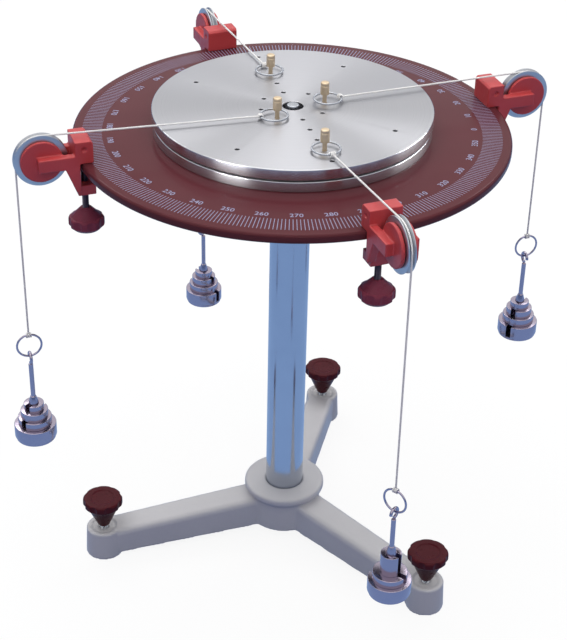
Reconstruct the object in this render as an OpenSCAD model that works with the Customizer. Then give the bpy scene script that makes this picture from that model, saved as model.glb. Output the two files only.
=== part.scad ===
// Force table: a round graduated table on a tripod column, with a moment disc turning on balls,
// four rim clamps with pulleys, and cords that run from pegs on the disc to hanging masses.

/* [Base] */
// Distance from the column axis to each levelling screw
foot_r = 192; // [177:1:207]
// Direction of the first foot round the column
foot_turn = 77.3; // [60:0.1:100]
// Height of a foot boss
boss_h = 31; // [29:1:34]
// Diameter of a foot boss at the bench
boss_d = 38; // [36:1:42]
// Diameter of a foot boss at its top
boss_top_d = 35; // [33:1:36]
// Diameter of the shallow dish on a boss
dish_d = 26; // [22:1:28]
// Depth of that dish
dish_depth = 1.5; // [1:0.1:2]
// Width of an arm at the hub
arm_hub_w = 34; // [30:1:38]
// Width of an arm at its boss
arm_foot_w = 30; // [26:1:32]
// Height of an arm's top at the hub
arm_hub_top = 43; // [40:1:44]
// Height of an arm's top at its boss
arm_foot_top = 31; // [28:1:33]
// Height of an arm's underside at the hub
arm_hub_low = 10; // [9:1:12]
// Height of an arm's underside at its boss
arm_foot_low = 3; // [2:1:5]
// Softening of an arm's top edges
arm_edge = 5; // [3:0.5:6]
// Wall of the arm's hollow underside
arm_wall = 5; // [4:0.5:7]
// Softening of that hollow's corners
hollow_edge = 3; // [2:0.5:4]
// Diameter of the hub's body
hub_d = 74; // [70:1:76]
// Diameter of the hub's top rim
hub_rim_d = 82; // [80:1:88]
// Height of the hub's rim
hub_rim_h = 9; // [8:0.5:10]
// Roundness of the hub's rim
hub_rim_edge = 3; // [2:0.5:4]
// Height of the hub's underside over the bench
hub_low = 10; // [9:1:12]
// Height of the hub's top over the bench
hub_top = 53; // [53:1:58]

/* [Levelling screws] */
// Diameter of the screw
level_d = 8; // [7:0.5:9]
// Running clearance round a screw, on the radius
screw_fit = 0.05; // [0.03:0.01:0.08]
// Height of the screw's tip over the bench
level_tip = 0.3; // [0.2:0.1:0.5]
// Diameter of the hand knob
level_knob_d = 40; // [36:1:43]
// Height of the knob's fluted head
level_head_h = 11; // [9:0.5:14]
// Height of the cone under the head
level_cone_h = 22; // [18:1:26]
// Diameter of the cone where it meets the head
level_cone_d = 31; // [27:1:34]
// Width of a knob's cone round its screw at the small end
cone_lip = 2; // [1.5:0.5:3]
// Clear height between the boss and the cone
level_gap = 2.5; // [2:0.5:4]
// Flutes round a knob
knob_flutes = 8; // [6:1:10]
// Diameter of a flute
flute_d = 14; // [12:1:16]
// Depth of a flute
flute_depth = 1.6; // [1:0.2:2]
// Roundness of a knob's edges
knob_edge = 2.5; // [1.5:0.5:3]

/* [Column] */
// Outer diameter of the column tube
column_d = 38; // [34:1:40]
// Wall of the column tube
column_wall = 2; // [1.5:0.5:3]
// Depth of the column's seat in the hub
column_seat = 26; // [22:1:28]
// Thickness of the plug in the foot of the tube
plug_t = 14; // [12:1:18]
// Diameter of the bolt under the hub
bolt_d = 10; // [8:1:10]
// Width across the flats of its head
bolt_flats = 17; // [15:1:17]
// Height of its head
bolt_head_h = 5.5; // [5:0.5:6]
// Diameter of its washer
washer_d = 24; // [22:1:26]
// Thickness of its washer
washer_t = 1.5; // [1:0.5:1.5]
// Clearance round the washer in its recess
washer_room = 3; // [2:0.5:4]
// Depth of the bolt's head in that recess
bolt_sunk = 1; // [0.5:0.5:2]
// Clear depth over the bolt's end
bolt_end = 1; // [0.5:0.5:2]

/* [Table] */
// Height of the table top over the bench
table_top = 455; // [430:5:480]
// Diameter of the table
table_d = 400; // [394:2:406]
// Thickness of the table
table_t = 9; // [8:0.5:10]
// Roundness of the table's edge
table_edge = 3; // [2:0.5:3.5]
// Diameter of the flange under the table
flange_d = 120; // [110:2:130]
// Thickness of the flange
flange_t = 8; // [7:0.5:10]
// Outer diameter of the flange's socket
socket_d = 56; // [52:1:60]
// Length of the flange's socket
socket_h = 30; // [26:1:36]
// Diameter of the flange screws
fixing_d = 5; // [4:0.5:6]
// Diameter of the circle of flange screws
fixing_circle_d = 90; // [84:1:96]
// Diameter of a flange screw's head
fixing_head_d = 9; // [8:0.5:11]
// Height of a flange screw's head
fixing_head_h = 5; // [4:0.5:6]
// Clearance round a flange screw, on the radius
fixing_fit = 0.15; // [0.1:0.05:0.25]
// Depth of a flange screw in the bearing plate
fixing_bite = 7; // [6:0.5:8]
// Clear depth over a flange screw's end
fixing_end = 0.5; // [0.3:0.1:1]

/* [Bearing] */
// Diameter of the lower bearing plate
plate_d = 254; // [246:2:256]
// Thickness of the lower bearing plate
plate_t = 10; // [9:0.5:12]
// Roundness of the edges of the plate and the disc
plate_edge = 1; // [0.5:0.5:2]
// Gap between the plate and the moment disc
ball_gap = 1.8; // [1.4:0.2:2.4]
// Diameter of a ball
ball_d = 8; // [7:0.5:9]
// Diameter of the circle of balls
ball_circle_d = 166; // [160:2:172]
// Number of balls
ball_count = 12; // [8:1:16]
// Clearance between a ball and its race
race_fit = 0.1; // [0.05:0.05:0.2]

/* [Moment disc] */
// How far the moment disc stands out past the lower plate
disc_over = 1; // [0.5:0.5:2]
// Thickness of the moment disc
disc_t = 10.2; // [9.5:0.1:12]
// Diameter of the hole at the disc's centre
disc_bore = 19; // [17:1:22]
// Diameter of the centre pin
pin_d = 11; // [9:1:12]
// Height of the centre pin over the disc
pin_proud = 1.5; // [0.5:0.5:3]
// Thickness of table left under the centre pin
pin_floor = 2; // [1.5:0.5:4]
// Direction of the first peg hole
hole_turn = 17.3; // [10:0.1:25]
// Distance of the inner ring of peg holes from the centre
hole_inner_r = 30; // [28:1:32]
// Distance of the row's last peg hole in from the disc's edge
row_edge = 14; // [12:1:18]
// Distance of the outer ring of peg holes in from the disc's edge
hole_edge = 26; // [22:1:28]

/* [Pegs and rings] */
// Diameter of a peg's shank
peg_d = 4; // [3.5:0.1:4.4]
// Clearance round a peg in its hole, on the radius
peg_fit = 0.05; // [0.03:0.01:0.08]
// Length of shank in the hole
peg_in = 9; // [7:0.5:9]
// Length of shank between the disc and the head
peg_stand = 8; // [7.5:0.5:10]
// Diameter of a peg's head
peg_head_d = 8; // [7:0.5:9]
// Height of a peg's head
peg_head_h = 12; // [10:0.5:14]
// Roundness of the edges of a peg's head
peg_edge = 1; // [0.5:0.5:1.5]
// Outside diameter of the ring on a peg
ring_d = 27; // [26:0.5:29]
// Outside diameter of the ring that carries a mass
hang_ring_d = 25; // [24:0.5:27]
// Diameter of the rings' wire
ring_wire = 2; // [1.8:0.1:2.4]
// How far a ring is drawn from its peg
ring_pull = 3; // [2.5:0.1:3.5]
// Diameter of the cord
cord_d = 1.8; // [1.6:0.1:2]
// Clear length left between two stretches of one cord
cord_gap = 0.3; // [0.25:0.05:0.4]

/* [Clamps] */
// Direction of the back clamp round the table
back_turn = 112; // [104:1:120]
// Direction of the right clamp round the table
right_turn = 20; // [12:1:28]
// Direction of the left clamp round the table
left_turn = 200; // [192:1:208]
// Direction of the front clamp round the table
front_turn = 292; // [284:1:300]
// Reach of the upper jaw over the rim
jaw_reach = 11; // [9:0.5:13]
// Height of the upper jaw over the table
jaw_h = 21; // [18:0.5:22]
// Chamfer on the jaws
jaw_chamfer = 2; // [1:0.5:3]
// Clearance between a clamp and the rim
rim_gap = 1; // [0.8:0.1:1.5]
// Clearance between the upper jaw and the table
jaw_gap = 0.1; // [0.05:0.05:0.2]
// Thickness of the post behind the rim
post_t = 4; // [3:0.5:4.5]
// Depth of the post's side walls
side_depth = 13; // [11:0.5:15]
// Thickness of the post's side walls
side_t = 7.5; // [6.5:0.5:8.5]
// How far the side walls run down past the lower jaw's top
side_drop = 4; // [2:0.5:6]
// Reach of the lower jaw under the rim
low_reach = 13; // [12:0.5:15]
// Thickness of the lower jaw
low_t = 10; // [9:0.5:12]
// Width of the lower jaw
low_w = 22; // [20:0.5:24]
// Clear height between the table and the lower jaw
throat = 14; // [12:0.5:16]
// Diameter of the dimple on a clamp's side
dimple_d = 4.5; // [3:0.5:6]
// Depth of that dimple
dimple_depth = 1.5; // [1:0.1:2]
// Distance of the dimple from the upper jaw's front
dimple_in = 8; // [6:0.5:10]
// Height of the dimple over the middle of the upper jaw
dimple_up = 3; // [2:0.5:5]

/* [Clamp screws] */
// Diameter of a clamp screw
grip_d = 6; // [5:0.5:7]
// Distance of a clamp screw in from the rim
grip_in = 5; // [4:0.5:6]
// Length of clamp screw below the lower jaw
grip_free = 26; // [22:1:31]
// Diameter of the pad on a clamp screw
pad_d = 11; // [9:0.5:12]
// Thickness of that pad
pad_t = 2.5; // [2:0.5:4]
// Diameter of a clamp screw's knob
grip_knob_d = 33; // [30:1:35]
// Height of the knob's fluted head
grip_head_h = 12; // [10:1:15]
// Height of the cone on the knob
grip_cone_h = 9; // [7:0.5:12]
// Diameter of the cone where it meets the head
grip_cone_d = 27; // [23:1:28]
// Thickness of the knob under its screw
grip_floor = 3; // [2:0.5:4]

/* [Pulleys] */
// Distance of a pulley's axis out from the rim
axle_out = 33; // [32:0.5:36]
// Height of a pulley's axis over the table
axle_up = 3; // [2.5:0.1:4.5]
// Diameter of the wheel
wheel_d = 48; // [47:0.5:50]
// Width of the wheel
wheel_w = 7; // [6.5:0.5:8]
// Chamfer on the wheel's edges
wheel_edge = 1; // [0.5:0.1:1]
// Diameter of the circle that a cord makes round the wheel
wrap_d = 44.4; // [43:0.2:45]
// Clearance between a cord and its groove
groove_gap = 0.3; // [0.2:0.05:0.4]
// Width of the groove at the rim
groove_w = 5; // [4:0.5:5.5]
// Chamfer in the bottom of the groove
groove_edge = 0.5; // [0.4:0.1:0.6]
// Diameter of the wheel's pivots
pivot_d = 5; // [4:0.5:6]
// Length of a pivot past the wheel's face
pivot_l = 6; // [5:0.5:6.5]
// Running clearance round a pivot, on the radius
pivot_fit = 0.05; // [0.03:0.01:0.08]
// End clearance of a pivot in its cheek
pivot_end = 0.4; // [0.2:0.1:0.6]
// Diameter of a cheek beside the wheel
cheek_d = 38; // [34:1:42]
// Thickness of a cheek
cheek_t = 3.5; // [3:0.5:5]
// Clearance between a cheek and the wheel
cheek_gap = 0.5; // [0.4:0.1:1]
// Height of the arm that carries a cheek
fork_h = 12; // [10:0.5:14]
// Length of the arm past the pivot
fork_past = 4.5; // [4:0.5:6.5]
// Height of the arm's top over the pivot's axis
fork_up = 5; // [4:0.5:6]

/* [Masses] */
// Height of the back mass over the bench
back_hang = 123; // [105:1:140]
// Height of the right mass over the bench
right_hang = 183; // [160:1:200]
// Height of the left mass over the bench
left_hang = 165; // [150:1:190]
// Height of the front mass over the bench
front_hang = 110; // [90:1:125]
// Height of a hanger up to the middle of its hook
hanger_h = 90; // [86:1:100]
// Diameter of a hanger's rod
rod_d = 4.4; // [4:0.1:4.8]
// Diameter of a hanger's plate
tray_d = 38; // [34:1:40]
// Thickness of a hanger's plate
tray_t = 3; // [2:0.5:4]
// Radius of the hook to the middle of its wire
hook_r = 5; // [4.8:0.1:6]
// Diameter of the hook's wire
hook_wire = 3; // [2.6:0.1:3.2]
// Clearance between a hook and its ring
hook_gap = 0.3; // [0.2:0.05:0.4]
// Turn of the front ring and its hook about their cord
front_ring_turn = 30; // [0:5:60]
// Width of the slot in a slotted weight
slot_w = 5.4; // [5.2:0.1:6]
// Direction of the slot in every second weight, seen from its pulley
slot_turn = 35; // [0:5:60]
// Diameter of the largest weight
large_d = 40; // [38:1:44]
// Height of the largest weight
large_h = 13; // [11:1:16]
// Diameter of the second weight
medium_d = 32; // [28:1:35]
// Height of the second weight
medium_h = 8; // [6:1:10]
// Diameter of the third weight
small_d = 26; // [22:1:27]
// Height of the third weight
small_h = 8; // [6:1:10]
// Diameter of the topmost weight
top_d = 19; // [16:1:21]
// Height of the topmost weight
top_h = 7; // [5:1:9]
// Height of the topmost weight on the front hanger
front_top_h = 21; // [16:1:24]
// Diameter of the collar over the weights
collar_d = 10; // [8:1:12]
// Height of that collar
collar_h = 8; // [6:1:10]
// Width of the collar round the rod at its top
collar_lip = 0.5; // [0.3:0.1:1]

/* [Hidden] */
$fn = 64;
cut = 1;
rim_r = table_d / 2;
under = table_top - table_t;
plate_top = table_top + plate_t;
disc_low = plate_top + ball_gap;
disc_top = disc_low + disc_t;
disc_d = plate_d + 2 * disc_over;
hole_step = 45;
hole_outer_r = disc_d / 2 - hole_edge;
hole_pitch = (disc_d / 2 - row_edge - hole_inner_r) / 4;
ball_z = plate_top + ball_gap / 2;
seat_z = hub_top - column_seat;
washer_top = hub_low + washer_t + bolt_head_h + bolt_sunk;
column_top = under - flange_t;
axle_r = rim_r + axle_out;
axle_z = table_top + axle_up;
cord_z = axle_z + wrap_d / 2;
drop_r = axle_r + wrap_d / 2;
groove_r = wrap_d / 2 - cord_d / 2 - groove_gap;
post_in = rim_r + rim_gap;
jaw_in = rim_r - jaw_reach;
dimple_z = table_top + jaw_h / 2 + dimple_up;
low_in = rim_r - low_reach;
low_top = under - throat;
low_z = low_top - low_t;
grip_r = rim_r - grip_in;
grip_low = low_z - grip_free - grip_head_h;
pad_z = under - jaw_gap - pad_t;
cheek_in = wheel_w / 2 + cheek_gap;
cheek_out = cheek_in + cheek_t;
side_out = cheek_out + side_t;
pivot_out = wheel_w / 2 + pivot_l + pivot_end;
knob_low = boss_h + level_gap;
hook_up = hook_r - hook_wire / 2 - ring_wire / 2 - hook_gap;
hang_ring_r = hang_ring_d / 2 - ring_wire / 2;
peg_ring_r = ring_d / 2 - ring_wire / 2;
line_turn = [back_turn, right_turn, left_turn, front_turn];
hang_z = [back_hang, right_hang, left_hang, front_hang];
cap_h = [top_h, top_h, top_h, front_top_h];
ring_turn = [0, 0, 0, front_ring_turn];
peg_r = [hole_inner_r + 2 * hole_pitch, hole_inner_r, hole_inner_r, hole_inner_r + 3 * hole_pitch];
peg_turn = [for (k = [2, 0, 5, 6]) hole_turn + k * hole_step];

enamel = [0.72, 0.71, 0.71];
maroon = [0.33, 0.15, 0.17];
chrome = [0.62, 0.67, 0.75];
alloy = [0.80, 0.80, 0.80];
steel = [0.66, 0.68, 0.70];
brass = [0.76, 0.60, 0.30];
red = [0.74, 0.20, 0.20];
white = [0.90, 0.89, 0.86];

function polar(r, a) = [r * cos(a), r * sin(a)];
function peg_at(i) = polar(peg_r[i], peg_turn[i]);
function pulley_at(i) = polar(axle_r, line_turn[i]);
function pull(i) = (pulley_at(i) - peg_at(i)) / norm(pulley_at(i) - peg_at(i));
function pull_turn(i) = atan2(pull(i)[1], pull(i)[0]);
function ring_at(i) = peg_at(i) + ring_pull * pull(i);

// an arm's cross-section, from its width, underside, top and edge softening
function arm_section(x, w, low, top, e) = [
  [x, -w / 2, low], [x, w / 2, low], [x, w / 2, top - e], [x, w / 2 - 0.3 * e, top - 0.3 * e],
  [x, w / 2 - e, top], [x, -w / 2 + e, top], [x, -w / 2 + 0.3 * e, top - 0.3 * e], [x, -w / 2, top - e]
];

module bar(a, b) {
  n = len(a);
  polyhedron(
    points = concat(a, b),
    faces = concat(
      [[for (i = [0 : n - 1]) i]],
      [[for (i = [0 : n - 1]) 2 * n - 1 - i]],
      [for (i = [0 : n - 1]) [n + i, n + (i + 1) % n, (i + 1) % n, i]]
    )
  );
}

module soft_disc(d, h, e) {
  rotate_extrude() {
    square([d / 2 - e, h]);
    translate([0, e]) square([d / 2, h - 2 * e]);
    translate([d / 2 - e, e]) circle(e);
    translate([d / 2 - e, h - e]) circle(e);
  }
}

module at_feet() {
  for (k = [0 : 2]) rotate([0, 0, foot_turn + 120 * k]) translate([foot_r, 0, 0]) children();
}

module at_foot(k) {
  rotate([0, 0, foot_turn + 120 * (k - 1)]) translate([foot_r, 0, 0]) children();
}

module on_line(n) {
  rotate([0, 0, line_turn[n - 1]]) children();
}

module arm() {
  bar(
    arm_section(hub_d / 4, arm_hub_w, arm_hub_low, arm_hub_top, arm_edge),
    arm_section(foot_r - boss_top_d / 4, arm_foot_w, arm_foot_low, arm_foot_top, arm_edge)
  );
}

module arm_hollow() {
  wall = 2 * arm_wall;
  bar(
    arm_section(hub_d / 2 + arm_wall, arm_hub_w - wall, -cut, arm_hub_top - wall, hollow_edge),
    arm_section(foot_r - boss_d / 2 - arm_wall, arm_foot_w - wall, -cut, arm_foot_top - wall, hollow_edge)
  );
}

module tripod_casting() {
  color(enamel) difference() {
    union() {
      for (k = [0 : 2]) rotate([0, 0, foot_turn + 120 * k]) difference() {
        arm();
        arm_hollow();
      }
      at_feet() cylinder(h = boss_h, d1 = boss_d, d2 = boss_top_d);
      translate([0, 0, hub_low]) cylinder(h = hub_top - hub_low - hub_rim_edge, d = hub_d);
      translate([0, 0, hub_top - hub_rim_h]) soft_disc(hub_rim_d, hub_rim_h, hub_rim_edge);
    }
    translate([0, 0, seat_z]) cylinder(h = column_seat + cut, d = column_d);
    cylinder(h = hub_top, d = bolt_d);
    cylinder(h = washer_top, d = washer_d + 2 * washer_room);
    at_feet() translate([0, 0, -cut]) cylinder(h = boss_h + 2 * cut, d = level_d + 2 * screw_fit);
    at_feet() translate([0, 0, boss_h - dish_depth]) cylinder(h = dish_depth + cut, d = dish_d);
  }
}

module fluted_head(d, h) {
  difference() {
    soft_disc(d, h, knob_edge);
    for (i = [0 : knob_flutes - 1]) rotate([0, 0, 360 * (i + 0.5) / knob_flutes])
      translate([d / 2 + flute_d / 2 - flute_depth, 0, -cut]) cylinder(h = h + 2 * cut, d = flute_d);
  }
}

module levelling_spindle(k) {
  color(steel) at_foot(k) translate([0, 0, level_tip])
    cylinder(h = knob_low + level_cone_h - level_tip, d = level_d);
}

module levelling_knob(k) {
  color(maroon) at_foot(k) translate([0, 0, knob_low]) difference() {
    union() {
      translate([0, 0, level_cone_h]) fluted_head(level_knob_d, level_head_h);
      cylinder(h = level_cone_h + cut, d1 = level_d + 2 * cone_lip, d2 = level_cone_d);
    }
    translate([0, 0, -cut]) cylinder(h = level_cone_h + cut, d = level_d + 2 * screw_fit);
  }
}

module levelling_spindle_1() { levelling_spindle(1); }
module levelling_spindle_2() { levelling_spindle(2); }
module levelling_spindle_3() { levelling_spindle(3); }
module levelling_knob_1() { levelling_knob(1); }
module levelling_knob_2() { levelling_knob(2); }
module levelling_knob_3() { levelling_knob(3); }

module column_tube() {
  color(chrome) translate([0, 0, seat_z]) difference() {
    cylinder(h = column_top - seat_z, d = column_d);
    translate([0, 0, plug_t]) cylinder(h = column_top - seat_z, d = column_d - 2 * column_wall);
    translate([0, 0, -cut]) cylinder(h = plug_t + 2 * cut, d = bolt_d);
  }
}

module column_bolt() {
  head_top = washer_top - washer_t;
  color(steel) {
    translate([0, 0, head_top]) cylinder(h = washer_t, d = washer_d);
    translate([0, 0, head_top - bolt_head_h]) cylinder(h = bolt_head_h, d = bolt_flats / cos(30), $fn = 6);
    translate([0, 0, head_top]) cylinder(h = seat_z + plug_t - bolt_end - head_top, d = bolt_d);
  }
}

module at_fixings() {
  for (k = [0 : 3]) rotate([0, 0, 45 + 90 * k]) translate([fixing_circle_d / 2, 0, 0]) children();
}

module table_flange() {
  color(alloy) difference() {
    union() {
      translate([0, 0, column_top]) cylinder(h = flange_t, d = flange_d);
      translate([0, 0, column_top - socket_h]) cylinder(h = socket_h, d = socket_d);
    }
    translate([0, 0, column_top - socket_h - cut]) cylinder(h = socket_h + cut, d = column_d);
    at_fixings() translate([0, 0, column_top - cut])
      cylinder(h = flange_t + 2 * cut, d = fixing_d + 2 * fixing_fit);
  }
}

module flange_screws() {
  color(steel) at_fixings() {
    translate([0, 0, column_top - fixing_head_h]) cylinder(h = fixing_head_h, d = fixing_head_d);
    translate([0, 0, column_top]) cylinder(h = flange_t + table_t + fixing_bite, d = fixing_d);
  }
}

module table_disc() {
  color(maroon) difference() {
    translate([0, 0, under]) soft_disc(table_d, table_t, table_edge);
    translate([0, 0, under + pin_floor]) cylinder(h = table_t, d = pin_d);
    at_fixings() translate([0, 0, under - cut])
      cylinder(h = table_t + 2 * cut, d = fixing_d + 2 * fixing_fit);
  }
}

module race(z) {
  translate([0, 0, z]) rotate_extrude() translate([ball_circle_d / 2, 0]) circle(ball_d / 2 + race_fit);
}

module bearing_plate() {
  color(alloy) difference() {
    translate([0, 0, table_top]) soft_disc(plate_d, plate_t, plate_edge);
    translate([0, 0, table_top - cut]) cylinder(h = plate_t + 2 * cut, d = pin_d);
    at_fixings() translate([0, 0, table_top - cut])
      cylinder(h = cut + fixing_bite + fixing_end, d = fixing_d);
    race(ball_z);
  }
}

module bearing_balls() {
  color(steel) for (k = [0 : ball_count - 1]) rotate([0, 0, 360 * k / ball_count])
    translate([ball_circle_d / 2, 0, ball_z]) sphere(d = ball_d);
}

module peg_hole(r, a) {
  rotate([0, 0, a]) translate([r, 0, disc_low - cut])
    cylinder(h = disc_t + 2 * cut, d = peg_d + 2 * peg_fit);
}

module moment_disc() {
  color(alloy) difference() {
    translate([0, 0, disc_low]) soft_disc(disc_d, disc_t, plate_edge);
    translate([0, 0, disc_low - cut]) cylinder(h = disc_t + 2 * cut, d = disc_bore);
    race(ball_z);
    for (k = [0 : 7]) peg_hole(hole_inner_r, hole_turn + k * hole_step);
    for (k = [1 : 4]) peg_hole(hole_inner_r + k * hole_pitch, hole_turn + 2 * hole_step);
    for (k = [1 : 4]) peg_hole(hole_inner_r + k * hole_pitch, hole_turn + 6 * hole_step);
    for (k = [1 : 2 : 7]) peg_hole(hole_outer_r, hole_turn + k * hole_step);
  }
}

module centre_pin() {
  color(steel) translate([0, 0, under + pin_floor])
    cylinder(h = disc_top + pin_proud - under - pin_floor, d = pin_d);
}

module jaw_outline() {
  polygon([
    [jaw_in, table_top + jaw_gap], [post_in, table_top + jaw_gap], [post_in, low_top],
    [post_in + post_t, low_top], [post_in + post_t, table_top + jaw_h],
    [jaw_in + jaw_chamfer, table_top + jaw_h], [jaw_in, table_top + jaw_h - jaw_chamfer]
  ]);
}

module low_outline() {
  polygon([
    [low_in, low_z], [post_in + post_t - jaw_chamfer, low_z], [post_in + post_t, low_top],
    [post_in + post_t, under], [post_in, under], [post_in, low_top], [low_in, low_top]
  ]);
}

module side_outline() {
  polygon([
    [post_in, low_top - side_drop], [post_in + post_t, low_top - side_drop],
    [post_in + side_depth, axle_z + fork_up - fork_h], [axle_r + fork_past, axle_z + fork_up - fork_h],
    [axle_r + fork_past, axle_z + fork_up], [post_in + post_t, axle_z + fork_up],
    [post_in + post_t, table_top + jaw_h], [post_in, table_top + jaw_h]
  ]);
}

module upright(y0, y1) {
  translate([0, y1, 0]) rotate([90, 0, 0]) linear_extrude(y1 - y0) children();
}

module cross_pin(r, z, y0, y1, d) {
  translate([r, y1, z]) rotate([90, 0, 0]) cylinder(h = y1 - y0, d = d);
}

module clamp_body(n) {
  color(red) on_line(n) difference() {
    union() {
      upright(-side_out, side_out) jaw_outline();
      upright(-low_w / 2, low_w / 2) low_outline();
      upright(cheek_out, side_out) side_outline();
      upright(-side_out, -cheek_out) side_outline();
      cross_pin(axle_r, axle_z, cheek_in, cheek_out, cheek_d);
      cross_pin(axle_r, axle_z, -cheek_out, -cheek_in, cheek_d);
    }
    cross_pin(axle_r, axle_z, -pivot_out, pivot_out, pivot_d + 2 * pivot_fit);
    translate([grip_r, 0, low_z - cut]) cylinder(h = low_t + 2 * cut, d = grip_d + 2 * screw_fit);
    cross_pin(jaw_in + dimple_in, dimple_z, side_out - dimple_depth, side_out + cut, dimple_d);
    cross_pin(jaw_in + dimple_in, dimple_z, -side_out - cut, dimple_depth - side_out, dimple_d);
  }
}

module clamp_spindle(n) {
  color(steel) on_line(n) translate([grip_r, 0, 0]) {
    translate([0, 0, pad_z]) cylinder(h = pad_t, d = pad_d);
    translate([0, 0, grip_low + grip_floor]) cylinder(h = pad_z - grip_low - grip_floor, d = grip_d);
  }
}

module clamp_knob(n) {
  color(maroon) on_line(n) translate([grip_r, 0, grip_low]) difference() {
    union() {
      fluted_head(grip_knob_d, grip_head_h);
      translate([0, 0, grip_head_h - cut])
        cylinder(h = grip_cone_h + cut, d1 = grip_cone_d, d2 = grip_d + 2 * cone_lip);
    }
    translate([0, 0, grip_floor]) cylinder(h = grip_head_h + grip_cone_h, d = grip_d + 2 * screw_fit);
  }
}

module wheel_outline() {
  w = wheel_w / 2;
  g = cord_d / 2 + groove_gap;
  polygon([
    [0, -w - pivot_l], [pivot_d / 2, -w - pivot_l], [pivot_d / 2, -w], [wheel_d / 2 - wheel_edge, -w],
    [wheel_d / 2, wheel_edge - w], [wheel_d / 2, -groove_w / 2], [groove_r + groove_edge, -g],
    [groove_r, groove_edge - g], [groove_r, g - groove_edge], [groove_r + groove_edge, g],
    [wheel_d / 2, groove_w / 2], [wheel_d / 2, w - wheel_edge], [wheel_d / 2 - wheel_edge, w],
    [pivot_d / 2, w], [pivot_d / 2, w + pivot_l], [0, w + pivot_l]
  ]);
}

module pulley_wheel(n) {
  color(alloy) on_line(n) translate([axle_r, 0, axle_z]) rotate([90, 0, 0]) rotate_extrude() wheel_outline();
}

module peg(n) {
  color(brass) translate(concat(peg_at(n - 1), disc_top - peg_in)) {
    cylinder(h = peg_in + peg_stand + peg_edge, d = peg_d);
    translate([0, 0, peg_in + peg_stand]) soft_disc(peg_head_d, peg_head_h, peg_edge);
  }
}

module wire_ring(r) {
  rotate_extrude() translate([r, 0]) circle(d = ring_wire);
}

module peg_ring(n) {
  color(steel) translate(concat(ring_at(n - 1), cord_z)) wire_ring(peg_ring_r);
}

// the stretch of cord from a peg's ring to the top of its pulley
module cord_span(n) {
  i = n - 1;
  run = norm(pulley_at(i) - ring_at(i)) - peg_ring_r - cord_gap;
  color(white) translate(concat(ring_at(i), cord_z)) rotate([0, 0, pull_turn(i)])
    translate([peg_ring_r, 0, 0]) rotate([0, 90, 0]) cylinder(h = run, d = cord_d);
}

// the quarter turn of cord in the pulley's groove
module cord_arc(n) {
  color(white) on_line(n) translate([axle_r, 0, axle_z]) rotate([90, 0, 0])
    rotate_extrude(angle = 90) translate([wrap_d / 2, 0]) circle(d = cord_d);
}

// the stretch of cord that hangs from the pulley
module cord_drop(n) {
  low = hang_z[n - 1] + hanger_h + hook_up + 2 * hang_ring_r;
  color(white) on_line(n) translate([drop_r, 0, low]) cylinder(h = axle_z - cord_gap - low, d = cord_d);
}

module hanger_ring(n) {
  color(steel) on_line(n) translate([drop_r, 0, hang_z[n - 1] + hanger_h + hook_up + hang_ring_r])
    rotate([0, 0, ring_turn[n - 1]]) rotate([90, 0, 0]) wire_ring(hang_ring_r);
}

module slotted(d, h, z, a) {
  translate([0, 0, z]) difference() {
    cylinder(h = h, d = d);
    rotate([0, 0, a]) translate([0, 0, -cut]) {
      cylinder(h = h + 2 * cut, d = slot_w);
      translate([0, -slot_w / 2, 0]) cube([d, slot_w, h + 2 * cut]);
    }
  }
}

module hook() {
  rotate([0, 0, 90]) rotate([90, 0, 0]) rotate([0, 0, -90])
    rotate_extrude(angle = 270) translate([hook_r, 0]) circle(d = hook_wire);
}

module mass(n) {
  z1 = tray_t + large_h;
  z2 = z1 + medium_h;
  z3 = n == 4 ? z2 : z2 + small_h;
  z4 = z3 + cap_h[n - 1];
  color(chrome) on_line(n) translate([drop_r, 0, hang_z[n - 1]]) {
    cylinder(h = tray_t, d = tray_d);
    slotted(large_d, large_h, tray_t, slot_turn + 180);
    slotted(medium_d, medium_h, z1, slot_turn);
    if (n != 4) slotted(small_d, small_h, z2, slot_turn + 180);
    slotted(top_d, cap_h[n - 1], z3, slot_turn);
    translate([0, 0, z4]) cylinder(h = collar_h, d1 = collar_d, d2 = rod_d + 2 * collar_lip);
    cylinder(h = hanger_h - hook_r, d = rod_d);
    translate([0, 0, hanger_h]) rotate([0, 0, ring_turn[n - 1]]) hook();
  }
}

module clamp_body_1() { clamp_body(1); }
module clamp_body_2() { clamp_body(2); }
module clamp_body_3() { clamp_body(3); }
module clamp_body_4() { clamp_body(4); }
module clamp_spindle_1() { clamp_spindle(1); }
module clamp_spindle_2() { clamp_spindle(2); }
module clamp_spindle_3() { clamp_spindle(3); }
module clamp_spindle_4() { clamp_spindle(4); }
module clamp_knob_1() { clamp_knob(1); }
module clamp_knob_2() { clamp_knob(2); }
module clamp_knob_3() { clamp_knob(3); }
module clamp_knob_4() { clamp_knob(4); }
module pulley_wheel_1() { pulley_wheel(1); }
module pulley_wheel_2() { pulley_wheel(2); }
module pulley_wheel_3() { pulley_wheel(3); }
module pulley_wheel_4() { pulley_wheel(4); }
module peg_1() { peg(1); }
module peg_2() { peg(2); }
module peg_3() { peg(3); }
module peg_4() { peg(4); }
module peg_ring_1() { peg_ring(1); }
module peg_ring_2() { peg_ring(2); }
module peg_ring_3() { peg_ring(3); }
module peg_ring_4() { peg_ring(4); }
module cord_span_1() { cord_span(1); }
module cord_span_2() { cord_span(2); }
module cord_span_3() { cord_span(3); }
module cord_span_4() { cord_span(4); }
module cord_arc_1() { cord_arc(1); }
module cord_arc_2() { cord_arc(2); }
module cord_arc_3() { cord_arc(3); }
module cord_arc_4() { cord_arc(4); }
module cord_drop_1() { cord_drop(1); }
module cord_drop_2() { cord_drop(2); }
module cord_drop_3() { cord_drop(3); }
module cord_drop_4() { cord_drop(4); }
module hanger_ring_1() { hanger_ring(1); }
module hanger_ring_2() { hanger_ring(2); }
module hanger_ring_3() { hanger_ring(3); }
module hanger_ring_4() { hanger_ring(4); }
module mass_1() { mass(1); }
module mass_2() { mass(2); }
module mass_3() { mass(3); }
module mass_4() { mass(4); }

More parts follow.
